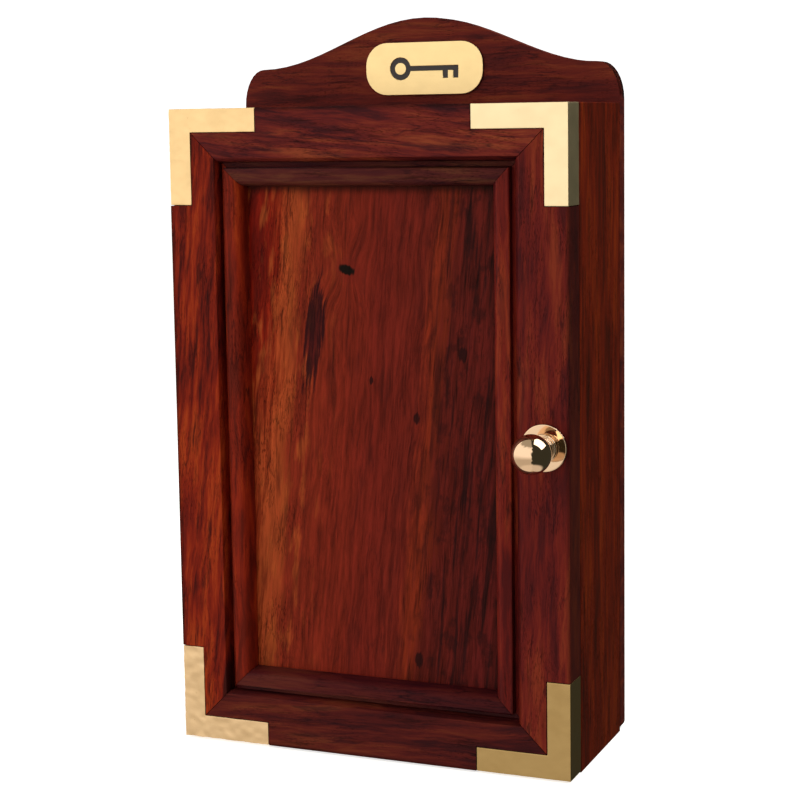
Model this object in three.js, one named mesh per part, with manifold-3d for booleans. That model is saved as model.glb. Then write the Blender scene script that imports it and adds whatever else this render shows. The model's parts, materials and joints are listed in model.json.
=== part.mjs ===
// Key cabinet that hangs on a wall: a box on a crowned back board, closed by a framed and panelled
// door with let-in brass corners, a ball knob and hooks for keys inside.
// Millimetres. X runs to the right as one faces the door, Y into the wall and Z up.
// The origin is on the wall, midway between the two hanging points.
import * as THREE from "three";
import { mergeVertices } from "three/addons/utils/BufferGeometryUtils.js";
import Module from "manifold-3d";

const wasm = await Module();
wasm.setup();

// ---- Sizes that can each be set by themselves ----
const box = { width: 220, height: 341, depth: 72, wall: 10 };
const board = { thickness: 9, lowerRound: 4 };
const crown = { shoulderLift: 2, shoulderWidth: 12, shoulderHeight: 20, rise: 26, steps: 28 };
const door = { thickness: 17.5, gap: 0.5, lift: 1 };
const frame = { width: 28, edgeRound: 2.5, grooveDepth: 5 };
const panel = { thickness: 4, setBack: 9.5, slack: 0.5 };
const moulding = { quirk: 3, quirkDepth: 5.5, setBack: 0.7, edgeRound: 1, flat: 6.5, fall: 2.2, foot: 0.8 };
const corner = { arm: 50.5, width: 12.5, thickness: 1.2 };
const knob = { ball: 10, reach: 30.5, inset: 13, bore: 7, ballRings: 10 };
const knobNeck = { radius: 5.2, waist: 4.8, collar: 6.8, collarDepth: 2.5, bevel: 0.5 };
const rose = { radius: 12, rim: 1.6, dish: 0.7, hub: 7.4 };
const knobScrew = { shank: 2, head: 3.6, headDepth: 2.2 };
const hinge = { height: 38, leaf: 9.5, thickness: 1.2, knuckle: 2.4, pin: 1.2, proud: 0.1, inset: 80 };
const hingeCap = { radius: 1.9, height: 1 };
const hingeScrew = { head: 2.1, headDepth: 1, shank: 1, length: 8 };
const hingeScrewSpread = 12;
const magnet = { radius: 3, length: 6, drop: 38 };
const strike = { radius: 4.5, thickness: 1.2 };
const strikeScrew = { head: 2, headDepth: 0.9, shank: 0.9, length: 7 };
const plaque = { width: 68.5, height: 28.5, thickness: 1.6, cornerRound: 12.5, lift: 20.5 };
const keyMark = { length: 40, bow: 6.2, eye: 3.2, shaft: 2.6, tooth: 4.2, toothWidth: 3, depth: 0.45 };
const hanger = { width: 14, height: 40, thickness: 1.2, entry: 4.6, slot: 2.4, travel: 11, level: 300 };
const hangerSpacing = 140;
const hangerPocket = { width: 12, depth: 4.2, margin: 1.5 };
const hangerScrew = { head: 2.2, headDepth: 1, shank: 1, length: 6 };
const hangerScrewInset = 4.6;
const backScrew = { head: 3.2, headDepth: 2, shank: 1.6, length: 26 };
const backScrewInset = 60;
const hook = { wire: 1.3, bead: 1.7, stem: 2.5, bend: 3, bight: 6, lip: 4, wireSides: 8, wireSteps: 16 };
const hookRoot = { collar: 3.2, collarFront: 2, collarDepth: 1.4, shank: 1.3, depth: 7 };
const hookGrid = { columns: 3, rows: 3, across: 62, down: 92, topRow: 47 };
const screwSlot = { width: 0.6, depth: 0.4 };
const headSink = 0.02; // how far a countersunk head lies below the face round it
const headRim = 0.2; // the head's straight rim, before it tapers

// ---- Clearances ----
const glueLine = 0.1; // between flat faces that are glued or laid together
const inlayGap = 0.3; // round a piece that is let into wood
const screwGap = 0.15; // round a screw, a hook's shank or a turning pin
const mitreGap = 0.2; // half of the joint line where two members meet, measured along them
const hingeGap = 0.3; // between the two leaves and between neighbouring knuckles

// ---- Places worked out from the sizes ----
const boardFrontY = -board.thickness;
const boxBackY = boardFrontY - glueLine;
const boxFrontY = boxBackY - box.depth;
const doorBackY = boxFrontY - door.gap;
const doorFrontY = doorBackY - door.thickness;
const hingeY = boxFrontY - door.gap / 2;
const hingeX = -box.width / 2 - hinge.knuckle - hinge.proud;
const doorHeight = box.height - door.lift;
const doorMiddle = door.lift + doorHeight / 2;
const edgeMiddle = box.width / 2 - box.wall / 2;
const knobX = box.width / 2 - knob.inset;
const arcSteps = 4; // half the facets in a quarter turn of an outline
const knobSteps = 28;
const roundSteps = 18;
const smallSteps = 10;
const mergeWithin = 1e-4;
const overrun = 1; // how far a cutting tool stands out of the face it enters

// ---- Finishes ----
function finish(color, roughness, metalness) {
  return () => new THREE.MeshStandardMaterial({ color, roughness, metalness });
}
const rosewood = finish(0x5a1c12, 0.35, 0);
const panelWood = finish(0x7a2a14, 0.35, 0);
const cornerBrass = finish(0xe3c27a, 0.38, 1);
const knobBrass = finish(0xd9b57a, 0.12, 1);
const plainBrass = finish(0xb9954f, 0.35, 1);
const steel = finish(0x8c8d90, 0.35, 1);

// ---- Solids ----
function toSolid(geometry) {
  const bare = geometry.clone();
  bare.deleteAttribute("normal");
  bare.deleteAttribute("uv");
  const merged = mergeVertices(bare, mergeWithin);
  const vertProperties = merged.attributes.position.array;
  const triVerts = new Uint32Array(merged.index.array);
  return new wasm.Manifold(new wasm.Mesh({ numProp: 3, vertProperties, triVerts }));
}

function toGeometry(solid) {
  const { vertProperties, triVerts } = solid.getMesh();
  const indexed = new THREE.BufferGeometry();
  indexed.setAttribute("position", new THREE.BufferAttribute(vertProperties, 3));
  indexed.setIndex(new THREE.BufferAttribute(triVerts, 1));
  const geometry = indexed.toNonIndexed();
  geometry.computeVertexNormals();
  return geometry;
}

function join(...pieces) {
  return toGeometry(pieces.map(toSolid).reduce((whole, piece) => whole.add(piece)));
}

function cut(piece, ...tools) {
  return toGeometry(tools.map(toSolid).reduce((rest, tool) => rest.subtract(tool), toSolid(piece)));
}

// A box between two values on each axis, given in either order.
function block([x0, x1], [y0, y1], [z0, z1]) {
  const geometry = new THREE.BoxGeometry(Math.abs(x1 - x0), Math.abs(y1 - y0), Math.abs(z1 - z0));
  return geometry.translate((x0 + x1) / 2, (y0 + y1) / 2, (z0 + z1) / 2);
}

// A plate with its outline in X and Z, whose back lies at the given Y and which grows towards -Y.
function plate(shape, backY, thickness) {
  const settings = { depth: thickness, bevelEnabled: false, curveSegments: arcSteps };
  return new THREE.ExtrudeGeometry(shape, settings).rotateX(Math.PI / 2).translate(0, backY, 0);
}

// A body turned about the Y axis, from [radius, y] pairs that run from low y to high y.
function turned(profile, steps) {
  return new THREE.LatheGeometry(profile.map(([r, y]) => new THREE.Vector2(r, y)), steps);
}

function cylinderAlongY(radius, [y0, y1], x, z, steps) {
  return turned([[0, y0], [radius, y0], [radius, y1], [0, y1]], steps).translate(x, 0, z);
}

function cylinderAlongZ(radius, [z0, z1], x, y, steps) {
  const upright = turned([[0, z0], [radius, z0], [radius, z1], [0, z1]], steps).rotateX(Math.PI / 2);
  return upright.translate(x, y, 0);
}

function roundedRectangle(width, height, radius, centreZ) {
  const [x, z, r] = [width / 2, height / 2, radius];
  const shape = new THREE.Shape();
  shape.absarc(x - r, centreZ + z - r, r, 0, Math.PI / 2);
  shape.absarc(-x + r, centreZ + z - r, r, Math.PI / 2, Math.PI);
  shape.absarc(-x + r, centreZ - z + r, r, Math.PI, 1.5 * Math.PI);
  shape.absarc(x - r, centreZ - z + r, r, 1.5 * Math.PI, 2 * Math.PI);
  return shape;
}

// ---- Countersunk screws, made with the head's face at y = 0 and the point towards +Y ----
function screwBody(size, grow, faceY) {
  const shank = size.shank + grow;
  const head = size.head + grow;
  const end = size.length + grow;
  return turned([[0, faceY], [head, faceY], [head, headRim + grow], [shank, size.headDepth + grow],
    [shank, end - shank], [0, end]], smallSteps);
}

// Heading 1 points a body made along +Y that way, and -1 turns it towards -Y.
function aim(geometry, { x, y, z, heading }) {
  return (heading > 0 ? geometry : geometry.rotateZ(Math.PI)).translate(x, y, z);
}

function screw(size, place) {
  const { width, depth } = screwSlot;
  const reach = size.head + overrun;
  const groove = block([-reach, reach], [-overrun, depth], [-width / 2, width / 2]);
  return aim(cut(screwBody(size, 0, headSink), groove), place);
}

function screwHole(size, place) {
  return aim(screwBody(size, screwGap, -overrun), place);
}

// ---- The assembly: everything is built up from the underside of the box ----
const assembly = new THREE.Group();
const carcass = new THREE.Group();
const leaf = new THREE.Group();
assembly.add(carcass, leaf);
assembly.position.z = -hanger.level;

function add(group, name, geometry, makeMaterial) {
  const mesh = new THREE.Mesh(geometry, makeMaterial());
  mesh.name = name;
  group.add(mesh);
}

// ---- Where the repeated fasteners and hooks sit ----
const ends = [["lower", -1], ["upper", 1]];
const hands = [["left", -1], ["right", 1]];

const hingeLevels = ends.map(([name, side]) => ({
  name,
  z: doorMiddle + side * (doorHeight / 2 - hinge.inset),
}));
const hingeScrewX = -box.width / 2 + hinge.leaf / 2;
const hingeFaces = {
  box: { y: hingeY + hingeGap / 2, heading: 1 },
  door: { y: hingeY - hingeGap / 2, heading: -1 },
};

function hingeScrewPlaces(level, side) {
  const face = hingeFaces[side];
  return [-1, 1].map((end) => ({ x: hingeScrewX, z: level.z + end * hingeScrewSpread, ...face }));
}

const backScrewPlaces = hands.flatMap(([hand, side]) =>
  [["lower", backScrewInset], ["upper", box.height - backScrewInset]].map(([end, z]) =>
    ({ name: `${end}_${hand}`, x: side * edgeMiddle, y: 0, z, heading: -1 })));

const hangerCentres = hands.map(([name, side]) => ({ name, x: side * hangerSpacing / 2 }));
const hangerMiddle = hanger.level - hanger.travel / 2;

function hangerScrewPlaces(centre) {
  return ends.map(([end, side]) => ({ name: `${centre.name}_${end}`, x: centre.x, y: -glueLine,
    z: hangerMiddle + side * (hanger.height / 2 - hangerScrewInset), heading: -1 }));
}

const hookPlaces = [];
for (let row = 0; row < hookGrid.rows; row++) {
  for (let column = 0; column < hookGrid.columns; column++) {
    hookPlaces.push({
      name: `key_hook_row${row + 1}_${column + 1}`,
      x: (column - (hookGrid.columns - 1) / 2) * hookGrid.across,
      z: box.height - box.wall - hookGrid.topRow - row * hookGrid.down,
    });
  }
}
const catchPlace = { x: edgeMiddle, z: doorMiddle - magnet.drop };

// ---- Back board, with the crown's rounded shoulders and ogee ----
function boardOutline() {
  const half = box.width / 2;
  const shoulder = half - crown.shoulderWidth;
  const springing = box.height + crown.shoulderLift;
  const shoulderTop = springing + crown.shoulderHeight;
  const shape = new THREE.Shape();
  shape.absarc(half - board.lowerRound, board.lowerRound, board.lowerRound, -Math.PI / 2, 0);
  shape.absellipse(shoulder, springing, crown.shoulderWidth, crown.shoulderHeight, 0, Math.PI / 2);
  for (let step = 1; step < crown.steps; step++) {
    const x = shoulder * (1 - 2 * step / crown.steps);
    shape.lineTo(x, shoulderTop + crown.rise * (1 + Math.cos(Math.PI * x / shoulder)) / 2);
  }
  shape.absellipse(-shoulder, springing, crown.shoulderWidth, crown.shoulderHeight, Math.PI / 2, Math.PI);
  shape.absarc(-half + board.lowerRound, board.lowerRound, board.lowerRound, Math.PI, 1.5 * Math.PI);
  return shape;
}

function hangerPlate(centre, grow) {
  const shape = roundedRectangle(hanger.width + 2 * grow, hanger.height + 2 * grow,
    hanger.width / 2 + grow, hangerMiddle);
  return plate(shape, grow > 0 ? overrun : 0, hanger.thickness + (grow > 0 ? overrun + glueLine : 0))
    .translate(centre.x, 0, 0);
}

function hangerPocketTool(centre) {
  const low = hanger.level - hanger.travel - hanger.entry - hangerPocket.margin;
  const high = hanger.level + hanger.slot + hangerPocket.margin;
  const half = hangerPocket.width / 2;
  const floor = -hanger.thickness - hangerPocket.depth;
  return block([centre.x - half, centre.x + half], [overrun, floor], [low, high]);
}

function addBackBoard() {
  const tools = [
    ...backScrewPlaces.map((place) => screwHole(backScrew, place)),
    ...hangerCentres.flatMap((centre) => [
      hangerPlate(centre, inlayGap),
      hangerPocketTool(centre),
      ...hangerScrewPlaces(centre).map((place) => screwHole(hangerScrew, place)),
    ]),
    ...hookPlaces.map(({ x, z }) => cylinderAlongY(hookRoot.shank + screwGap,
      [boardFrontY - overrun, boardFrontY + hookRoot.depth + screwGap], x, z, smallSteps)),
  ];
  add(carcass, "back_board", cut(plate(boardOutline(), 0, board.thickness), ...tools), rosewood);
  for (const place of backScrewPlaces) {
    add(carcass, `back_screw_${place.name}`, screw(backScrew, place), plainBrass);
  }
}

// ---- Keyhole plates let into the back board ----
function addHangers() {
  for (const centre of hangerCentres) {
    const entryZ = hanger.level - hanger.travel;
    const depth = [overrun, -hanger.thickness - overrun];
    const geometry = cut(
      hangerPlate(centre, 0),
      cylinderAlongY(hanger.entry, depth.toReversed(), centre.x, entryZ, roundSteps),
      cylinderAlongY(hanger.slot, depth.toReversed(), centre.x, hanger.level, roundSteps),
      block([centre.x - hanger.slot, centre.x + hanger.slot], depth, [entryZ, hanger.level]),
      ...hangerScrewPlaces(centre).map((place) => screwHole(hangerScrew, place)),
    );
    add(carcass, `hanger_${centre.name}`, geometry, plainBrass);
    for (const place of hangerScrewPlaces(centre)) {
      add(carcass, `hanger_screw_${place.name}`, screw(hangerScrew, place), plainBrass);
    }
  }
}

// ---- The four boards of the box ----
function addBox() {
  const half = box.width / 2;
  const inner = half - box.wall;
  for (const [name, side] of hands) {
    const tools = backScrewPlaces.map((place) => screwHole(backScrew, place));
    if (side > 0) {
      tools.push(cylinderAlongY(magnet.radius + screwGap, [boxFrontY - overrun,
        boxFrontY + magnet.length + screwGap], catchPlace.x, catchPlace.z, roundSteps));
    } else {
      for (const level of hingeLevels) {
        tools.push(hingeMortise(level, "box"));
        tools.push(...hingeScrewPlaces(level, "box").map((place) => screwHole(hingeScrew, place)));
      }
    }
    const panel = block([side * inner, side * half], [boxFrontY, boxBackY], [0, box.height]);
    add(carcass, `side_panel_${name}`, cut(panel, ...tools), rosewood);
  }
  const across = [-inner + glueLine, inner - glueLine];
  const deep = [boxFrontY, boxBackY];
  add(carcass, "top_panel", block(across, deep, [box.height - box.wall, box.height]), rosewood);
  add(carcass, "bottom_panel", block(across, deep, [0, box.wall]), rosewood);
}

// ---- Hinges: three knuckles on the box's leaf and two on the door's ----
const knuckleNumbers = { box: [0, 2, 4], door: [1, 3] };
const knuckleCount = 5;

function leafDepth(side, from, to) {
  const { y, heading } = hingeFaces[side];
  return [y + heading * from, y + heading * to];
}

function hingeMortise(level, side) {
  const half = hinge.height / 2 + inlayGap;
  const outer = -box.width / 2;
  return block([outer - overrun, outer + hinge.leaf + inlayGap],
    leafDepth(side, -door.gap, hinge.thickness + glueLine), [level.z - half, level.z + half]);
}

function hingeLeaf(level, side) {
  const bottom = level.z - hinge.height / 2;
  const pitch = (hinge.height + hingeGap) / knuckleCount;
  const depth = leafDepth(side, 0, hinge.thickness);
  const edge = hingeX + hinge.knuckle + hingeGap;
  const leafEnd = -box.width / 2 + hinge.leaf;
  const pieces = [block([edge, leafEnd], depth, [bottom, bottom + hinge.height])];
  for (const number of knuckleNumbers[side]) {
    const span = [bottom + number * pitch, bottom + (number + 1) * pitch - hingeGap];
    pieces.push(block([hingeX, edge + hingeGap], depth, span));
    pieces.push(cylinderAlongZ(hinge.knuckle, span, hingeX, hingeY, roundSteps));
  }
  const bore = cylinderAlongZ(hinge.pin + screwGap, [bottom - overrun, bottom + hinge.height + overrun],
    hingeX, hingeY, roundSteps);
  const holes = hingeScrewPlaces(level, side).map((place) => screwHole(hingeScrew, place));
  return cut(join(...pieces), bore, ...holes);
}

function addHinges() {
  const groups = { box: carcass, door: leaf };
  for (const level of hingeLevels) {
    for (const side of ["box", "door"]) {
      add(groups[side], `hinge_${level.name}_${side}_leaf`, hingeLeaf(level, side), plainBrass);
      hingeScrewPlaces(level, side).forEach((place, number) => {
        const name = `hinge_${level.name}_${side}_screw_${number + 1}`;
        add(groups[side], name, screw(hingeScrew, place), plainBrass);
      });
    }
    const top = level.z + hinge.height / 2 + glueLine;
    const pin = turned([[0, level.z - hinge.height / 2], [hinge.pin, level.z - hinge.height / 2],
      [hinge.pin, top], [hingeCap.radius, top], [hingeCap.radius, top + hingeCap.height / 2],
      [hingeCap.radius / 2, top + hingeCap.height], [0, top + hingeCap.height]], roundSteps);
    const placed = pin.rotateX(Math.PI / 2).translate(hingeX, hingeY, 0);
    add(carcass, `hinge_${level.name}_pin`, placed, plainBrass);
  }
}

// ---- Door: members run round the opening, each mitred at both ends ----
const doorSides = [
  { name: "left", member: "stile", inward: [1, 0, 0], along: [0, 0, 1], start: [-1, -1] },
  { name: "bottom", member: "rail", inward: [0, 0, 1], along: [-1, 0, 0], start: [1, -1] },
  { name: "right", member: "stile", inward: [-1, 0, 0], along: [0, 0, -1], start: [1, 1] },
  { name: "top", member: "rail", inward: [0, 0, -1], along: [1, 0, 0], start: [-1, 1] },
];

// The outline is in distance inwards from the outer edge and depth behind the door's front.
function frameOutline() {
  const near = panel.setBack - glueLine;
  const far = panel.setBack + panel.thickness + glueLine;
  const shape = new THREE.Shape();
  shape.moveTo(0, 0);
  shape.lineTo(frame.width - frame.edgeRound, 0);
  shape.absarc(frame.width - frame.edgeRound, frame.edgeRound, frame.edgeRound, -Math.PI / 2, 0);
  shape.lineTo(frame.width, near);
  shape.lineTo(frame.width - frame.grooveDepth, near);
  shape.lineTo(frame.width - frame.grooveDepth, far);
  shape.lineTo(frame.width, far);
  shape.lineTo(frame.width, door.thickness);
  shape.lineTo(0, door.thickness);
  return shape;
}

function mouldingOutline() {
  const { quirk, quirkDepth, setBack, edgeRound, flat, fall, foot } = moulding;
  const back = panel.setBack - glueLine;
  const crest = quirk + edgeRound;
  const brow = crest + flat;
  const shape = new THREE.Shape();
  shape.moveTo(glueLine, quirkDepth);
  shape.lineTo(quirk, quirkDepth);
  shape.lineTo(quirk, setBack + edgeRound);
  shape.absarc(crest, setBack + edgeRound, edgeRound, Math.PI, 1.5 * Math.PI);
  shape.quadraticCurveTo(brow - fall / 2, setBack, brow, setBack + fall / 2);
  shape.quadraticCurveTo(brow + fall, setBack + fall, brow + fall, back - foot);
  shape.lineTo(brow + fall + foot / 2, back);
  shape.lineTo(glueLine, back);
  return shape;
}

function mitredBar(shape, length) {
  const settings = { depth: length, bevelEnabled: false, curveSegments: arcSteps };
  const bar = new THREE.ExtrudeGeometry(shape, settings);
  const { position } = bar.attributes;
  for (let i = 0; i < position.count; i++) {
    const trim = position.getX(i) + mitreGap;
    position.setZ(i, position.getZ(i) < length / 2 ? trim : length - trim);
  }
  return bar;
}

// Lays a bar along one side of a rectangle centred on the door.
function layOnSide(shape, side, width, height) {
  const bar = mitredBar(shape, side.member === "stile" ? height : width);
  const turn = new THREE.Matrix4().makeBasis(new THREE.Vector3(...side.inward), new THREE.Vector3(0, 1, 0),
    new THREE.Vector3(...side.along));
  turn.setPosition(side.start[0] * width / 2, doorFrontY, doorMiddle + side.start[1] * height / 2);
  return bar.applyMatrix4(turn);
}

// Brass corner: an L on the face, a flange down the side and one along the end of the door.
function cornerPlates([sideX, sideZ], round, under) {
  const edgeX = sideX * (box.width / 2 + under);
  const edgeZ = doorMiddle + sideZ * (doorHeight / 2 + under);
  const x = (inset) => sideX * (box.width / 2 - inset);
  const z = (inset) => doorMiddle + sideZ * (doorHeight / 2 - inset);
  const arm = corner.arm + round;
  const width = corner.width + round;
  const seat = corner.thickness + (round > 0 ? glueLine : 0);
  const face = [doorFrontY - under, doorFrontY + seat];
  const deep = [doorFrontY - under, doorBackY + under];
  return [
    block([edgeX, x(arm)], face, [edgeZ, z(width)]),
    block([edgeX, x(width)], face, [edgeZ, z(arm)]),
    block([edgeX, x(seat)], deep, [edgeZ, z(arm)]),
    block([edgeX, x(arm)], deep, [edgeZ, z(seat)]),
  ];
}

function stileTools(side) {
  if (side.name === "right") {
    const wide = knobScrew.head + inlayGap;
    return [
      cylinderAlongY(knobScrew.shank + screwGap, [doorFrontY - overrun, doorBackY + overrun], knobX,
        doorMiddle, roundSteps),
      cylinderAlongY(wide, [doorBackY - knobScrew.headDepth - glueLine, doorBackY + overrun], knobX,
        doorMiddle, roundSteps),
      cylinderAlongY(strike.radius + inlayGap, [doorBackY - strike.thickness - glueLine,
        doorBackY + overrun], catchPlace.x, catchPlace.z, roundSteps),
      screwHole(strikeScrew, { ...catchPlace, y: doorBackY, heading: -1 }),
    ];
  }
  return hingeLevels.flatMap((level) => [
    hingeMortise(level, "door"),
    ...hingeScrewPlaces(level, "door").map((place) => screwHole(hingeScrew, place)),
  ]);
}

function addDoor() {
  const pockets = doorSides.flatMap(({ start }) => cornerPlates(start, inlayGap, overrun));
  const openingWidth = box.width - 2 * frame.width;
  const openingHeight = doorHeight - 2 * frame.width;
  for (const side of doorSides) {
    const blank = layOnSide(frameOutline(), side, box.width, doorHeight);
    const tools = side.member === "stile" ? stileTools(side) : [];
    add(leaf, `door_${side.member}_${side.name}`, cut(blank, ...pockets, ...tools), rosewood);
    const strip = layOnSide(mouldingOutline(), side, openingWidth, openingHeight);
    add(leaf, `moulding_${side.name}`, strip, rosewood);
    const vertical = side.start[1] > 0 ? "top" : "bottom";
    const hand = side.start[0] > 0 ? "right" : "left";
    add(leaf, `corner_${vertical}_${hand}`, join(...cornerPlates(side.start, 0, 0)), cornerBrass);
  }
  const tongue = frame.grooveDepth - panel.slack;
  const halfWidth = openingWidth / 2 + tongue;
  const halfHeight = openingHeight / 2 + tongue;
  const deep = [doorFrontY + panel.setBack, doorFrontY + panel.setBack + panel.thickness];
  const sheet = block([-halfWidth, halfWidth], deep, [doorMiddle - halfHeight, doorMiddle + halfHeight]);
  add(leaf, "door_panel", sheet, panelWood);
}

// ---- Knob, turned about Y with its ball towards the front ----
function knobProfile(seat) {
  const centre = -knob.reach + knob.ball;
  const reachAngle = Math.PI - Math.asin(knobNeck.radius / knob.ball);
  const profile = [[0, -knob.reach]];
  for (let ring = 1; ring <= knob.ballRings; ring++) {
    const angle = reachAngle * ring / knob.ballRings;
    profile.push([knob.ball * Math.sin(angle), centre - knob.ball * Math.cos(angle)]);
  }
  const neckBack = profile.at(-1)[1];
  const collarFront = seat - knobNeck.collarDepth;
  profile.push([knobNeck.waist, (neckBack + collarFront) / 2]);
  profile.push([knobNeck.radius, collarFront]);
  profile.push([knobNeck.collar - knobNeck.bevel, collarFront]);
  profile.push([knobNeck.collar, collarFront + knobNeck.bevel]);
  profile.push([knobNeck.collar, seat], [0, seat]);
  return profile;
}

function roseProfile() {
  const { radius, rim, dish, hub } = rose;
  const hole = knobScrew.shank + screwGap;
  return [[hole, -rim], [hub, -rim], [hub + dish, -rim + dish], [radius - 2 * dish, -rim + dish],
    [radius - dish, -rim], [radius, -rim + dish], [radius, -glueLine], [hole, -glueLine], [hole, -rim]];
}

function addKnob() {
  const seat = -rose.rim - glueLine;
  const boreSpan = [seat - knob.bore, seat + overrun];
  const bore = cylinderAlongY(knobScrew.shank + screwGap, boreSpan, 0, 0, smallSteps);
  const place = (geometry) => geometry.translate(knobX, doorFrontY, doorMiddle);
  add(leaf, "knob", place(cut(turned(knobProfile(seat), knobSteps), bore)), knobBrass);
  add(leaf, "knob_rose", place(turned(roseProfile(), knobSteps)), knobBrass);

  const { shank, head, headDepth } = knobScrew;
  const tip = seat - knob.bore + inlayGap;
  const face = door.thickness - glueLine;
  const bolt = turned([[0, tip], [shank, tip], [shank, face - headDepth], [head, face - headDepth],
    [head, face], [0, face]], roundSteps);
  const groove = block([-head - overrun, head + overrun], [face - screwSlot.depth, face + overrun],
    [-screwSlot.width / 2, screwSlot.width / 2]);
  add(leaf, "knob_screw", place(cut(bolt, groove)), steel);
}

// ---- Magnet in the box's right-hand edge and the steel plate that it holds on the door ----
function addCatch() {
  const { x, z } = catchPlace;
  const slugSpan = [boxFrontY + glueLine, boxFrontY + magnet.length];
  const slug = cylinderAlongY(magnet.radius, slugSpan, x, z, roundSteps);
  add(carcass, "catch_magnet", slug, steel);
  const place = { x, z, y: doorBackY - glueLine, heading: -1 };
  const discSpan = [doorBackY - strike.thickness, doorBackY - glueLine];
  const disc = cylinderAlongY(strike.radius, discSpan, x, z, roundSteps);
  add(leaf, "strike_plate", cut(disc, screwHole(strikeScrew, place)), steel);
  add(leaf, "strike_screw", screw(strikeScrew, place), steel);
}

// ---- Plaque on the crown, engraved with a key ----
function addPlaque() {
  const centreZ = box.height + plaque.lift;
  const back = boardFrontY - glueLine;
  const front = back - plaque.thickness;
  const blank = plate(roundedRectangle(plaque.width, plaque.height, plaque.cornerRound, centreZ), back,
    plaque.thickness);
  const engraved = [front - overrun, front + keyMark.depth];
  const bowX = -keyMark.length / 2 + keyMark.bow;
  const tip = keyMark.length / 2;
  const ring = cut(cylinderAlongY(keyMark.bow, engraved, bowX, centreZ, roundSteps),
    cylinderAlongY(keyMark.eye, [engraved[0] - overrun, engraved[1] + overrun], bowX, centreZ, roundSteps));
  const half = keyMark.shaft / 2;
  const shaft = block([bowX + keyMark.eye + half, tip], engraved, [centreZ - half, centreZ + half]);
  const teeth = [1, 3].map((place) => {
    const right = tip - (place - 1) * keyMark.toothWidth;
    return block([right - keyMark.toothWidth, right], engraved, [centreZ - half - keyMark.tooth, centreZ]);
  });
  add(carcass, "name_plate", cut(blank, join(ring, shaft, ...teeth)), cornerBrass);
}

// ---- Hook: a screwed shank and collar, and a wire bent down, round and up to its tip ----
class HookLine extends THREE.Curve {
  getPoint(t, target = new THREE.Vector3()) {
    const lengths = [hook.stem, hook.bend * Math.PI / 2, hook.bight * Math.PI, hook.lip];
    let left = t * lengths.reduce((sum, length) => sum + length);
    if (left <= lengths[0]) return target.set(0, -left, 0);
    left -= lengths[0];
    if (left <= lengths[1]) {
      const angle = left / hook.bend;
      return target.set(0, -hook.stem - hook.bend * Math.sin(angle), -hook.bend * (1 - Math.cos(angle)));
    }
    left -= lengths[1];
    const near = -hook.stem - hook.bend;
    if (left <= lengths[2]) {
      const angle = left / hook.bight;
      const [across, down] = [hook.bight * (1 - Math.cos(angle)), hook.bight * Math.sin(angle)];
      return target.set(0, near - across, -hook.bend - down);
    }
    return target.set(0, near - 2 * hook.bight, -hook.bend + left - lengths[2]);
  }
}

function addHooks() {
  const ring = new THREE.Shape();
  ring.absarc(0, 0, hook.wire, 0, 2 * Math.PI);
  const line = new HookLine();
  const settings = { steps: hook.wireSteps, extrudePath: line, curveSegments: hook.wireSides / 2 };
  const wire = new THREE.ExtrudeGeometry(ring, { ...settings, bevelEnabled: false });
  const tip = line.getPoint(1);
  const bead = new THREE.SphereGeometry(hook.bead, hook.wireSides, hook.wireSides / 2);
  const { collar, collarFront, collarDepth, shank, depth } = hookRoot;
  const root = turned([[0, -collarDepth], [collarFront, -collarDepth], [collar, 0], [shank, 0],
    [shank, depth - shank], [0, depth]], smallSteps);
  const whole = join(root, wire, bead.translate(tip.x, tip.y, tip.z));
  for (const { name, x, z } of hookPlaces) {
    add(carcass, name, whole.clone().translate(x, boardFrontY - glueLine, z), plainBrass);
  }
}

addBackBoard();
addHangers();
addBox();
addHinges();
addDoor();
addKnob();
addCatch();
addPlaque();
addHooks();

export default assembly;
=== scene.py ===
"""Looks for a wall key cabinet: rosewood boards, brass corners, a turned knob, hooks and a studio.

Lengths are in metres, with X to the right as one faces the door, Y into the wall and Z up.
"""
import json
import math
from collections import namedtuple

import bmesh
import bpy
from bpy.props import FloatProperty, FloatVectorProperty, IntProperty, PointerProperty
from mathutils import Matrix, Vector, noise

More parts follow.
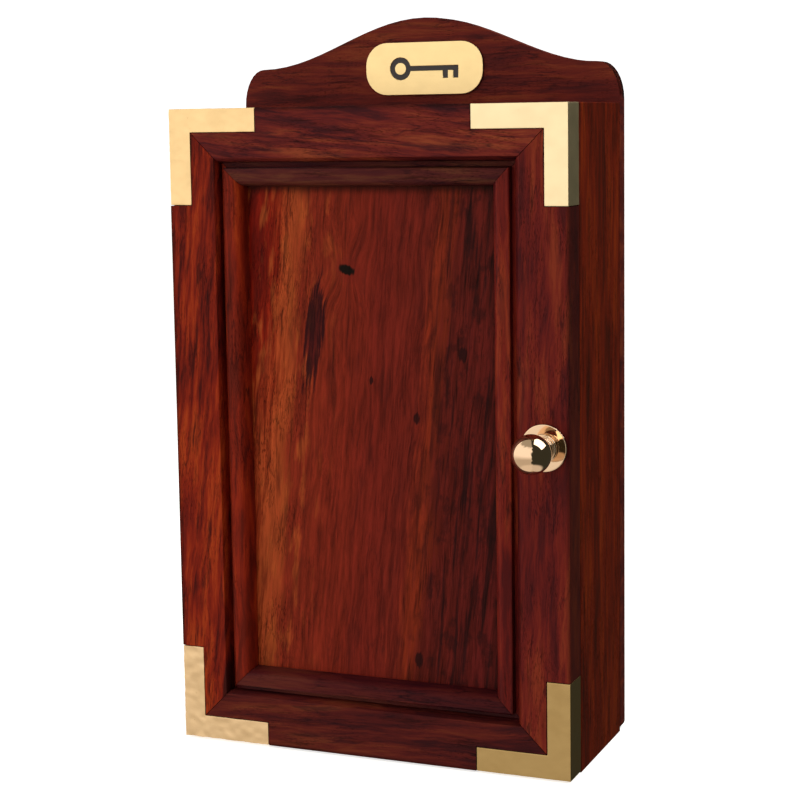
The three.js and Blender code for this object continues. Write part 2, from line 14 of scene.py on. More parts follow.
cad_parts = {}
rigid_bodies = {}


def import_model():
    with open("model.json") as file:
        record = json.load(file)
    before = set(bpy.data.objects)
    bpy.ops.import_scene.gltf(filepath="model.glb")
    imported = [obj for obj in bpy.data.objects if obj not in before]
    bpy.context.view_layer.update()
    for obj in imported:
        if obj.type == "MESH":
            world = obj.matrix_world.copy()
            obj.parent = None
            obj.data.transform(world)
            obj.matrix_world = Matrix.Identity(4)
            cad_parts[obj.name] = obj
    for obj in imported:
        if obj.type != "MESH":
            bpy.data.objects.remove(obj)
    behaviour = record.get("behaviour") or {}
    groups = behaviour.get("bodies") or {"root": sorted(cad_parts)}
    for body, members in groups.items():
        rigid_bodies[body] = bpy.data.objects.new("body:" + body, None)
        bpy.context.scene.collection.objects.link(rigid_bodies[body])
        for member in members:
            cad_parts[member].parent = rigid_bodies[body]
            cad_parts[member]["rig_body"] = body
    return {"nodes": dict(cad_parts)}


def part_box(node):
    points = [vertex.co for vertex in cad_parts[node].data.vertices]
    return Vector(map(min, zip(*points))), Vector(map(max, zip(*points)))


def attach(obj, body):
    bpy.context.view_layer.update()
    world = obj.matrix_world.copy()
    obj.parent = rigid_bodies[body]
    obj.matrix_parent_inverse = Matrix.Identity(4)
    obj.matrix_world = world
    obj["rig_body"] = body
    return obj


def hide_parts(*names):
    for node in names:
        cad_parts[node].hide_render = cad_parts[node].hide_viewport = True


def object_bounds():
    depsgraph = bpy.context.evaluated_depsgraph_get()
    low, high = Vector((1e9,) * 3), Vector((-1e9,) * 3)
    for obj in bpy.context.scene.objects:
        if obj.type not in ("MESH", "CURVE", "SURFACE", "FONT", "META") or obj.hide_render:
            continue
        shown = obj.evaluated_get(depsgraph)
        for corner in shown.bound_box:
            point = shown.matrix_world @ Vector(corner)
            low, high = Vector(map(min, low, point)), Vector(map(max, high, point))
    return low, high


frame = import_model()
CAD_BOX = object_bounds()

bl_info = {
    "name": "Key cabinet looks",
    "version": (1, 0, 0),
    "blender": (4, 5, 0),
    "location": "3D View > Sidebar > Key cabinet",
    "description": "Finishes a wall key cabinet in rosewood and brass",
    "category": "Object",
}

MM = 0.001
WELD = 1e-6  # corners nearer than this are one
FLAT = math.radians(1)  # faces nearer than this in angle are one flat face
SHARP = math.radians(30)  # edges sharper than this are softened
HAIR = 0.02 * MM  # a gap too small to see


# ---------------------------------------------------------------- sizes and colours to choose from


def colour(label, description, default):
    return FloatVectorProperty(name=label, description=description, default=default,
                               subtype="COLOR", size=3, min=0, max=1)


def length(label, description, millimetres):
    return FloatProperty(name=label, description=description, default=millimetres * MM,
                         unit="LENGTH")


def share(label, description, default):
    return FloatProperty(name=label, description=description, default=default, min=0, max=1,
                         subtype="FACTOR")


def angle(label, description, degrees):
    return FloatProperty(name=label, description=description, default=math.radians(degrees),
                         subtype="ANGLE")


class WoodLook(bpy.types.PropertyGroup):
    """How the boards are coloured and polished."""

    dark: colour("Dark grain", "Colour of the late wood", (0.036, 0.005, 0.005))
    middle: colour("Middle grain", "Main colour of the wood", (0.135, 0.010, 0.006))
    light: colour("Light grain", "Colour of the lighter streaks", (0.215, 0.018, 0.007))
    bright: colour("Bright grain", "Colour of the brightest streaks", (0.330, 0.042, 0.010))
    ink: colour("Ink line", "Colour of the black veins", (0.012, 0.003, 0.004))
    polish: share("Polish roughness", "Roughness of the oiled surface", 0.32)
    shine: share("Shine", "Strength of the reflection", 0.07)
    warmth: colour("Warmth of shine", "Tint of the reflection", (1.0, 0.62, 0.50))
    fibre_depth: length("Fibre depth", "Depth of the open grain", 0.05)
    wander: length("Wander", "How far the grain strays sideways", 3)


class BrassLook(bpy.types.PropertyGroup):
    """How the metal pieces are coloured and polished."""

    pale: colour("Pale brass", "Colour of the corners and the plaque", (0.93, 0.70, 0.34))
    polished: colour("Polished brass", "Colour of the knob", (0.77, 0.54, 0.35))
    plain: colour("Plain brass", "Colour of the hinges, hooks and hangers", (0.70, 0.49, 0.20))
    tarnish: colour("Tarnish", "Colour of the brown specks", (0.30, 0.17, 0.05))
    enamel: colour("Enamel", "Colour of the filling in the engraving", (0.018, 0.008, 0.006))
    steel: colour("Steel", "Colour of the catch and its plate", (0.42, 0.43, 0.44))
    satin: share("Satin roughness", "Roughness of the corners", 0.36)
    mirror: share("Mirror roughness", "Roughness of the knob", 0.06)


class EdgeSizes(bpy.types.PropertyGroup):
    """How far edges are softened, and how fine the turned pieces are."""

    board: length("Board edge", "Rounding of the boards' edges", 0.7)
    hinged: length("Hinged edge", "Rounding of the side that the hinges are let into", 0.08)
    member: length("Door edge", "Rounding of the door's edges", 0.5)
    strip: length("Moulding edge", "Rounding of the mouldings' edges", 0.25)
    sheet: length("Sheet edge", "Rounding of the brass corners' edges", 0.3)
    small: length("Fitting edge", "Rounding of hinges and plates", 0.12)
    dent: length("Dent depth", "Depth of the dents in the corners", 0.09)
    dent_size: length("Dent size", "Distance between dents", 3.2)
    dent_grid: length("Dent grid", "Mesh size of the dented brass", 1.3)
    turns: IntProperty(name="Turned steps", description="Steps round a turned piece", default=72,
                       min=12)


class KnobSizes(bpy.types.PropertyGroup):
    """The turned knob and the rose behind it."""

    ball: length("Ball", "Radius of the ball", 10)
    neck: length("Neck", "Radius of the neck behind the ball", 5.2)
    ring: length("Ring", "Radius of the first ring", 6.5)
    foot: length("Foot", "Radius of the ring against the rose", 7.4)
    rose: length("Rose", "Radius of the rose", 12)
    rose_depth: length("Rose depth", "Thickness of the rose", 1.6)


class HookSizes(bpy.types.PropertyGroup):
    """The hooks for keys."""

    wire: length("Wire", "Radius of the wire", 1.3)
    bead: length("Bead", "Radius of the bead on the tip", 1.7)
    collar: length("Collar", "Radius of the collar on the board", 3.2)
    collar_depth: length("Collar depth", "Depth of the collar", 1.4)
    stem: length("Stem", "Straight wire before the bend", 2.5)
    bend: length("Bend", "Radius of the bend below the stem", 3)
    bight: length("Bight", "Radius of the hook's round bottom", 6)
    lip: length("Lip", "Straight wire below the bead", 4)


class StudioLook(bpy.types.PropertyGroup):
    """The floor, the lights and the camera."""

    floor: colour("Floor", "Colour of the floor", (0.90, 0.90, 0.89))
    glow: FloatProperty(name="Floor glow", description="Light that the table gives off",
                        default=0.75)
    backdrop: FloatProperty(name="Backdrop", description="Brightness of the backdrop", default=1.15)
    screen: FloatProperty(name="Screen", description="Brightness of the white screen at the left",
                          default=1.35)
    screen_tint: colour("Screen tint", "Colour of the white screen", (1.0, 0.97, 0.93))
    bounce: colour("Bounce", "Colour of the room below the screen", (0.42, 0.36, 0.27))
    ceiling: colour("Ceiling", "Colour of the room above the screen", (0.20, 0.19, 0.13))
    dusk: colour("Dusk", "Colour of the dark side of the room", (0.045, 0.048, 0.036))
    warm: colour("Warm white", "Colour of the light from the table", (1.0, 0.93, 0.84))
    lamp: FloatProperty(name="Lamp", description="Power of the lamp above the right", default=13,
                        unit="POWER")
    lamp_size: length("Lamp size", "Side of the square lamp", 1150)
    lamp_place: FloatVectorProperty(name="Lamp place", description="From the cabinet's middle",
                                    default=(0.78, 0.26, 0.975), subtype="XYZ", unit="LENGTH")
    turn: angle("Camera turn", "How far to the right the camera stands", 22.53)
    tilt: angle("Camera tilt", "How far down the camera looks", 6.73)
    roll: angle("Camera roll", "How far the camera leans", -0.83)
    distance: length("Distance", "From the camera to the point it looks at", 972.5)
    aim_x: length("Aim across", "Where the camera looks, from the door's middle", 20.2)
    aim_z: length("Aim up", "Where the camera looks, from the door's middle", 46.4)
    lens: FloatProperty(name="Lens", description="Focal length in millimetres", default=86.1)
    rise: FloatProperty(name="Lens rise", description="Shift of the lens", default=-0.0625)


LOOKS = {
    "cabinet_wood": WoodLook,
    "cabinet_brass": BrassLook,
    "cabinet_edges": EdgeSizes,
    "cabinet_knob": KnobSizes,
    "cabinet_hook": HookSizes,
    "cabinet_studio": StudioLook,
}


# ---------------------------------------------------------------- shaders written as sums


class Link:
    """A shader socket that can stand in a sum: each operator adds the Math node that it needs."""

    def __init__(self, finish, socket):
        self.finish = finish
        self.socket = socket

    def _math(self, operation, *values):
        return self.finish.node("ShaderNodeMath", {"operation": operation}, dict(enumerate(values)))

    def __add__(self, other):
        return self._math("ADD", self, other)

    def __radd__(self, other):
        return self._math("ADD", other, self)

    def __sub__(self, other):
        return self._math("SUBTRACT", self, other)

    def __rsub__(self, other):
        return self._math("SUBTRACT", other, self)

    def __mul__(self, other):
        return self._math("MULTIPLY", self, other)

    def __rmul__(self, other):
        return self._math("MULTIPLY", other, self)

    def __truediv__(self, other):
        return self._math("DIVIDE", self, other)

    def __pow__(self, other):
        return self._math("POWER", self, other)

    def __abs__(self):
        return self._math("ABSOLUTE", self)


class Nodes:
    """The nodes of a material or a world, each made by one call from its settings and inputs."""

    def __init__(self, owner, coordinates):
        owner.use_nodes = True
        self.owner = owner
        self.tree = owner.node_tree
        self.tree.nodes.clear()
        place = self.node("ShaderNodeTexCoord", output=coordinates)
        axes = self.node("ShaderNodeSeparateXYZ", {}, {0: place}, output=None)
        self.x, self.y, self.z = (Link(self, socket) for socket in axes.outputs)

    def node(self, kind, settings=None, inputs=None, output=0):
        """Makes a node, sets it up and feeds it; gives one of its outputs, or the node for None."""
        made = self.tree.nodes.new(kind)
        for name, value in (settings or {}).items():
            if name == "stops":
                fill_ramp(made.color_ramp, value)
            else:
                setattr(made, name, value)
        for name, value in (inputs or {}).items():
            if isinstance(value, Link):
                self.tree.links.new(value.socket, made.inputs[name])
            else:
                made.inputs[name].default_value = value
        return made if output is None else Link(self, made.outputs[output])

    def vector(self, x, y, z):
        """Three values as one vector."""
        return self.node("ShaderNodeCombineXYZ", {}, {0: x, 1: y, 2: z})

    def place(self, wide, thick=None, high=None):
        """Where a point is, counted in patches of a size, which is one width or three."""
        return self.vector(self.x / wide, self.y / (thick or wide), self.z / (high or wide))

    def grain(self, at, detail=2.0, roughness=0.5):
        """Soft noise from 0 to 1, whose patches are about one unit of the given place wide."""
        inputs = {"Vector": at, "Scale": 1.0, "Detail": detail, "Roughness": roughness}
        return self.node("ShaderNodeTexNoise", {}, inputs)

    def ramp(self, value, stops):
        """A colour picked by a value from (place, colour) stops."""
        return self.node("ShaderNodeValToRGB", {"stops": stops}, {0: value}, output="Color")

    def step(self, value, low, high):
        """0 before low and 1 past high, with a smooth change between; low may be above high."""
        inputs = {"Value": value, "From Min": low, "From Max": high, "To Min": 0.0, "To Max": 1.0}
        return self.node("ShaderNodeMapRange", {"interpolation_type": "SMOOTHSTEP"}, inputs)

    def mix(self, amount, first, second, mode="MIX"):
        """One colour laid over another by an amount from 0 to 1."""
        settings = {"data_type": "RGBA", "blend_type": mode}
        return self.node("ShaderNodeMix", settings, {0: amount, 6: first, 7: second}, output=2)

    def darken(self, base, amount):
        """Multiplies a colour by a grey value that varies over the surface."""
        grey = self.vector(amount, amount, amount)
        return self.node("ShaderNodeVectorMath", {"operation": "MULTIPLY"}, {0: base, 1: grey})


class Finish(Nodes):
    """A material whose patterns keep their place in the wood or metal, in metres."""

    def __init__(self, name):
        super().__init__(bpy.data.materials.new(name), "Object")

    def bump(self, height, depth):
        """Relief of a depth in metres, from a height between 0 and 1."""
        inputs = {"Height": height, "Distance": depth, "Strength": 1.0}
        return self.node("ShaderNodeBump", {}, inputs)

    def surface(self, **inputs):
        """Joins the shader to the material's output, and gives the material."""
        sockets = {name.replace("_", " "): value for name, value in inputs.items()}
        shader = self.node("ShaderNodeBsdfPrincipled", {}, sockets)
        self.node("ShaderNodeOutputMaterial", {}, {"Surface": shader}, output=None)
        return self.owner


def fill_ramp(ramp, stops):
    """Puts the stops in a ramp, which starts with two of its own."""
    for number, (position, rgb) in enumerate(stops):
        stop = ramp.elements[number] if number < 2 else ramp.elements.new(position)
        stop.position = position
        stop.color = rgba(rgb)


def rgba(rgb):
    """A colour with its opacity, as a colour socket wants it."""
    return (*rgb, 1.0)


# ---------------------------------------------------------------- wood

# The axis that runs along a board's grain, the one across its face and the one through it
UPRIGHT = ("z", "x", "y")
LEVEL = ("x", "z", "y")
SIDE = ("z", "y", "x")
SHELF = ("x", "y", "z")
BOARD_STEP = 0.731  # metres along the grain from one board's seed to the next

# A layer of the grain: the millimetres that a patch is wide, thick and long, its detail and its
# roughness, and a shift that keeps it apart from the other layers
Layer = namedtuple("Layer", "wide thick long detail roughness shift", defaults=(0.5, 0))
LAYERS = {
    "warp": Layer(14, 50, 40, 3.0),
    "broad": Layer(11, 20, 90, 2.0),
    "streak": Layer(2.6, 6, 34, 6.0, 0.68),
    "fibre": Layer(0.5, 0.8, 7, 3.0, 0.7),
    "lively": Layer(12, 1000, 30, 2.0),
    "cloud": Layer(4.8, 8, 44, 5.0, 0.66, 17),
    "line": Layer(7, 12, 80, 3.0),
    "thread": Layer(1.1, 2, 24, 2.0),
    "dash": Layer(0.3, 0.3, 2.4, 0.0),
    "flare": Layer(6, 10, 26, 3.0, 0.6, 5),
    "stripe": Layer(4, 10, 70, 5.0, 0.64),
    "blot": Layer(7, 10, 14, 5.0, 0.62, 3),
}


def layer(finish, name, across, through, along):
    """The noise of one layer of the grain."""
    size = LAYERS[name]
    wide = across / (size.wide * MM)
    if size.shift:
        wide = wide + size.shift
    at = finish.vector(wide, through / (size.thick * MM), along / (size.long * MM))
    return finish.grain(at, size.detail, size.roughness)


def board_axes(finish, lay, seed, lean):
    """A board's place along, across and through its grain, moved so that no two boards match."""
    along, across, through = (getattr(finish, axis) for axis in lay)
    shift = seed * BOARD_STEP
    return along + shift, across - along * lean + shift * 2, through + shift * 3


def figure(finish, look, along, across, through):
    """The grain's parts, each from 0 to 1, from broad bands and smoke to fibres and pores."""
    warp = layer(finish, "warp", across, through, along)
    strayed = across + (warp - 0.5) * (2 * look.wander)
    broad, streak, fibre, cloud, line, thread = (
        layer(finish, name, strayed, through, along)
        for name in ("broad", "streak", "fibre", "cloud", "line", "thread"))
    lively = finish.step(layer(finish, "lively", across, through, along), 0.38, 0.62)
    dash = layer(finish, "dash", across, through, along)
    return {
        "broad": broad,
        "streak": streak,
        "fibre": fibre,
        "lively": lively,
        "smoke": finish.step(cloud, 0.52, 0.66),
        "vein": finish.step(thread, 0.55, 0.70) * (0.35 + lively * 0.65),
        "ink": finish.step(abs(line - 0.52), 0.020, 0.0) * lively,
        "pore": finish.step(dash, 0.60, 0.68) * lively,
    }


def wood_surface(finish, look, base, parts):
    """Oiled wood: open fibres, a low sheen that is duller in the pores."""
    relief = parts["fibre"] * 0.5 + parts["streak"] * 0.5 - parts["pore"] * 0.6
    rough = look.polish + (parts["streak"] - 0.5) * 0.20 + parts["pore"] * 0.2
    return finish.surface(Base_Color=base, Roughness=rough, Specular_IOR_Level=look.shine,
                          Specular_Tint=rgba(look.warmth),
                          Normal=finish.bump(relief, look.fibre_depth))


def rosewood(name, timber, edge=None):
    """A board of rosewood, whose rims may be darkened by the mask called edge."""
    look = bpy.context.scene.cabinet_wood
    finish = Finish(name)
    parts = figure(finish, look, *board_axes(finish, timber.lay, timber.seed, timber.lean))
    tone = finish.step(parts["broad"], 0.30, 0.70) * 0.50
    tone = tone + finish.step(parts["streak"], 0.30, 0.70) * 0.50
    tone = tone + (parts["fibre"] - 0.5) * (0.12 + parts["lively"] * 0.18)
    base = finish.ramp(tone, [(0.16, look.dark), (0.40, look.middle), (0.60, look.light),
                              (0.86, look.bright)])
    base = finish.mix(timber.calm, base, rgba(look.middle))
    base = finish.mix(parts["smoke"] * timber.smoke, base, rgba(look.dark))
    base = finish.mix(parts["ink"] * 0.6, base, rgba(look.ink))
    # Painted light: the tints, set board by board, make lit and shaded copies of one wood, with a
    # painted grey sheen on some
    base = finish.mix(1.0, base, rgba(timber.tint), "MULTIPLY")
    base = finish.darken(base, (1 - parts["pore"] * 0.45) * (1.14 - parts["vein"] * 0.50))
    if edge:
        base = finish.darken(base, 1 - edge(finish) * 0.55)
    return wood_surface(finish, look, base, parts)


# How one board looks: the lay and the seed of its grain, the tint of its colour, which also paints
# the light, shade and grey sheen that fall on that board, how dark its smoky patches are, how calm
# its figure is and how far its grain leans
Timber = namedtuple("Timber", "lay seed tint smoke calm lean", defaults=(0.0,))
BOARDS = {
    "back_board": Timber(LEVEL, 1, (0.82, 1.35, 1.8), 0.4, 0.5),
    "side_panel_left": Timber(SIDE, 2, (0.90, 0.85, 0.3), 0.5, 0.4),
    "side_panel_right": Timber(SIDE, 3, (0.90, 0.85, 0.3), 0.5, 0.4),
    "top_panel": Timber(SHELF, 4, (0.80, 0.8, 0.8), 0.4, 0.5),
    "bottom_panel": Timber(SHELF, 5, (0.8, 0.8, 0.8), 0.4, 0.5),
}
MEMBERS = {
    "stile_left": Timber(UPRIGHT, 11, (1.15, 1.05, 0.9), 0.85, 0.0, 0.09),
    "stile_right": Timber(UPRIGHT, 12, (0.88, 1.1, 1.6), 0.45, 0.45, 0.03),
    "rail_top": Timber(LEVEL, 13, (0.88, 1.4, 2.2), 0.7, 0.25, -0.08),
    "rail_bottom": Timber(LEVEL, 14, (0.57, 0.95, 1.5), 0.6, 0.35, 0.05),
}
STRIPS = {
    "left": Timber(UPRIGHT, 21, (1.7, 1.8, 1.3), 0.4, 0.4),
    "right": Timber(UPRIGHT, 22, (0.85, 0.9, 1.2), 0.4, 0.4),
    "top": Timber(LEVEL, 23, (0.50, 1.25, 2.3), 0.3, 0.5),
    "bottom": Timber(LEVEL, 24, (0.42, 0.65, 1.4), 0.3, 0.5),
}


# ---------------------------------------------------------------- metals


CLOUD = 12 * MM  # width of the clouds in a metal's polish


def brass(name, base, roughness, speck=0.35, grain=2 * MM, relief=0.02 * MM):
    """Brass with faint clouding, brown specks and a fine uneven polish."""
    look = bpy.context.scene.cabinet_brass
    finish = Finish(name)
    cloud = finish.grain(finish.place(CLOUD), 3.0)
    pits = finish.grain(finish.place(grain), 3.0, 0.7)
    spots = finish.step(pits, 0.66, 0.78)
    clouded = finish.step(cloud, 0.35, 0.75) * speck * 0.5
    colours = finish.mix(clouded, rgba(base), rgba(look.tarnish))
    colours = finish.mix(spots * speck, colours, rgba(look.tarnish))
    rough = roughness * (0.8 + cloud * 0.4) + spots * 0.15
    return finish.surface(Base_Color=colours, Metallic=1.0, Roughness=rough,
                          Normal=finish.bump(pits, relief))


# ---------------------------------------------------------------- meshes


def copy_of(node):
    """The shape of a CAD node, with its corners welded and its flat faces made whole."""
    shape = bmesh.new()
    shape.from_mesh(frame["nodes"][node].data)
    bmesh.ops.remove_doubles(shape, verts=shape.verts, dist=WELD)
    bmesh.ops.dissolve_limit(shape, angle_limit=FLAT, verts=shape.verts, edges=shape.edges)
    return shape


def soften(shape, width, shortest, segments=3):
    """Rounds the sharp edges that are longer than shortest."""
    sharp = [edge for edge in shape.edges
             if edge.is_manifold and abs(edge.calc_face_angle()) > SHARP
             and edge.calc_length() > shortest]
    bmesh.ops.bevel(shape, geom=sharp, offset=width, segments=segments, profile=0.5, affect="EDGES",
                    clamp_overlap=True)


def slice_evenly(shape, pitch):
    """Cuts a shape by planes across each axis, so that its faces can bend."""
    low = Vector(map(min, zip(*(vertex.co for vertex in shape.verts))))
    high = Vector(map(max, zip(*(vertex.co for vertex in shape.verts))))
    for axis in range(3):
        across = Vector([1.0 if number == axis else 0.0 for number in range(3)])
        for cut in range(1, math.ceil((high[axis] - low[axis]) / pitch)):
            place = low + across * (cut * pitch)
            everything = [*shape.verts, *shape.edges, *shape.faces]
            bmesh.ops.bisect_plane(shape, geom=everything, plane_co=place, plane_no=across,
                                   dist=HAIR / 4)


DENT_STEP = (7.3, 3.1, 1.7)  # from one corner's pattern of dents to the next
NARROW = 0.45  # size of the narrow dents, as a share of the wide ones
SHALLOW = 0.6  # depth of the narrow dents, as a share of the wide ones


def dent(shape, depth, size, seed):
    """Pushes vertices into the metal, never out of it, in soft dents of several sizes."""
    shape.normal_update()
    offset = Vector([part * seed for part in DENT_STEP])
    moved = []
    for vertex in shape.verts:
        wide = noise.noise(vertex.co / size + offset)
        narrow = noise.noise(vertex.co / (size * NARROW) + offset)
        hollow = max(0.0, 0.5 + (wide + narrow * SHALLOW))
        moved.append((vertex, vertex.normal * (-depth * hollow)))
    for vertex, move in moved:
        vertex.co += move


def finished(name, shape, material):
    """Makes an object of a shape, with smooth faces that still read as flat between soft edges."""
    bmesh.ops.recalc_face_normals(shape, faces=shape.faces)
    for face in shape.faces:
        face.smooth = True
    mesh = bpy.data.meshes.new(name)
    shape.to_mesh(mesh)
    shape.free()
    piece = bpy.data.objects.new(name, mesh)
    bpy.context.scene.collection.objects.link(piece)
    piece.data.materials.append(material)
    evened = piece.modifiers.new("even shading", "WEIGHTED_NORMAL")
    evened.keep_sharp = True
    return piece


def fit(piece, node, slot):
    """Puts a piece in the place of a CAD node, on the same body."""
    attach(piece, frame["nodes"][node]["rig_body"])
    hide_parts(node)


def board(node, material, edge, slot="rosewood"):
    """Makes a wooden piece, with the long edges rounded."""
    shape = copy_of(node)
    soften(shape, edge, 6 * MM)
    fit(finished(f"{node}_wood", shape, material), node, slot)


def fitting(node, material, slot, edge, suffix="brass"):
    """Makes a small metal piece, with its edges just broken."""
    shape = copy_of(node)
    soften(shape, edge, 2.5 * MM, 2)
    fit(finished(f"{node}_{suffix}", shape, material), node, slot)


def turned(profile, steps, centre):
    """A shape turned about an axis along Y, from (radius, y) pairs whose ends lie on the axis."""
    shape = bmesh.new()
    rings = []
    for radius, y in profile:
        count = steps if radius > 0 else 1
        turns = [2 * math.pi * step / steps for step in range(count)]
        spokes = [Vector((radius * math.cos(turn), y, radius * math.sin(turn))) for turn in turns]
        rings.append([shape.verts.new(centre + spoke) for spoke in spokes])
    join_rings(shape, rings)
    return shape


def join_rings(shape, rings):
    """Closes a skin between rings of vertices; a ring of one vertex is an end."""
    for one, other in zip(rings, rings[1:]):
        count = max(len(one), len(other))
        for step in range(count):
            corners = [one[step % len(one)], one[(step + 1) % len(one)],
                       other[(step + 1) % len(other)], other[step % len(other)]]
            shape.faces.new(list(dict.fromkeys(corners)))


def arc(centre, radius, start, end, steps):
    """Points of an arc as (radius, y) pairs, with its angles in degrees from the knob's axis."""
    turn = [math.radians(start + (end - start) * step / steps) for step in range(steps + 1)]
    return [(centre[0] + radius * math.sin(t), centre[1] - radius * math.cos(t)) for t in turn]


# ---------------------------------------------------------------- pieces


RIM = 2.6 * MM  # how far the dark edge of the door reaches inwards


def darkened_rim(reach):
    """A mask that rises towards the outer edges of the door, where the wood is made darker."""
    low, high = door_box()

    def mask(finish):
        sides = [finish.x - low.x, high.x - finish.x, finish.z - low.z, high.z - finish.z]
        masks = [finish.step(side, reach, 0.0) for side in sides]
        return masks[0] + masks[1] + masks[2] + masks[3]

    return mask


def door_box():
    """The lowest and the highest corner of the four members of the door."""
    corners = [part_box(f"door_{name}") for name in MEMBERS]
    low = Vector(map(min, zip(*(pair[0] for pair in corners))))
    high = Vector(map(max, zip(*(pair[1] for pair in corners))))
    return low, high


class CABINET_OT_carcass(bpy.types.Operator):
    """Makes the four boards of the box and the crowned back board."""

    bl_idname = "key_cabinet.carcass"
    bl_label = "Carcass"
    bl_options = {"REGISTER", "UNDO"}

    def execute(self, context):
        edges = context.scene.cabinet_edges
        for node, timber in BOARDS.items():
            width = edges.hinged if node == "side_panel_left" else edges.board
            board(node, rosewood(f"rosewood_{node}", timber), width)
        return {"FINISHED"}


class CABINET_OT_door(bpy.types.Operator):
    """Makes the door's frame, its mouldings and its panel."""

    bl_idname = "key_cabinet.door"
    bl_label = "Door"
    bl_options = {"REGISTER", "UNDO"}

    def execute(self, context):
        edges = context.scene.cabinet_edges
        rim = darkened_rim(RIM)
        for name, timber in MEMBERS.items():
            board(f"door_{name}", rosewood(f"rosewood_{name}", timber, rim), edges.member)
        for name, timber in STRIPS.items():
            board(f"moulding_{name}", rosewood(f"rosewood_moulding_{name}", timber), edges.strip)
        board("door_panel", PanelFinish().wood(), edges.strip, "panel_wood")
        return {"FINISHED"}


def distance(across, along, squeeze=1.0):
    """How far a place is from a spot, with the way along squeezed."""
    return (across ** 2 + (along * squeeze) ** 2) ** 0.5


PANEL_WIDTH = 156 * MM  # what the bands of colour are spread over
# Colours of the bands, from the panel's left side at 0 to its right side at 1
PANEL_BANDS = [
    (0.00, (0.200, 0.007, 0.003)),
    (0.06, (0.270, 0.014, 0.004)),
    (0.10, (0.380, 0.045, 0.012)),
    (0.15, (0.450, 0.074, 0.019)),
    (0.21, (0.260, 0.026, 0.010)),
    (0.38, (0.220, 0.020, 0.009)),
    (0.52, (0.185, 0.016, 0.009)),
    (0.63, (0.175, 0.016, 0.009)),
    (0.69, (0.260, 0.028, 0.009)),
    (0.75, (0.125, 0.012, 0.008)),
    (1.00, (0.110, 0.010, 0.009)),
]
FLARE = (0.450, 0.084, 0.019)
STRIPE = (0.020, 0.004, 0.005)
FLAME_DARK = (0.018, 0.003, 0.006)
FLAME_RED = (0.090, 0.008, 0.008)
KNOT_RED = (0.19, 0.016, 0.010)
KNOT_BLACK = (0.004, 0.004, 0.003)
PANEL_LEAN = 0.095  # how far the panel's grain strays across for each step along
PANEL_START = 3.1  # metres that set the panel's figure apart from the other boards'
REBATE = 17.5 * MM  # how deep the panel's rim lies behind the frame and the mouldings

# Millimetres from the panel's middle: the knot, the middle of the flame and its size, and the black
# specks with their size
KNOT = (-13, 86)
FLAME = (-33, 52)
FLAME_SIZE = (6, 34)
SPECKS = ((0.0, 28.7, 1.4), (24.7, 10, 2.4), (24.3, -117, 2.6), (51.0, 44.0, 3.0))


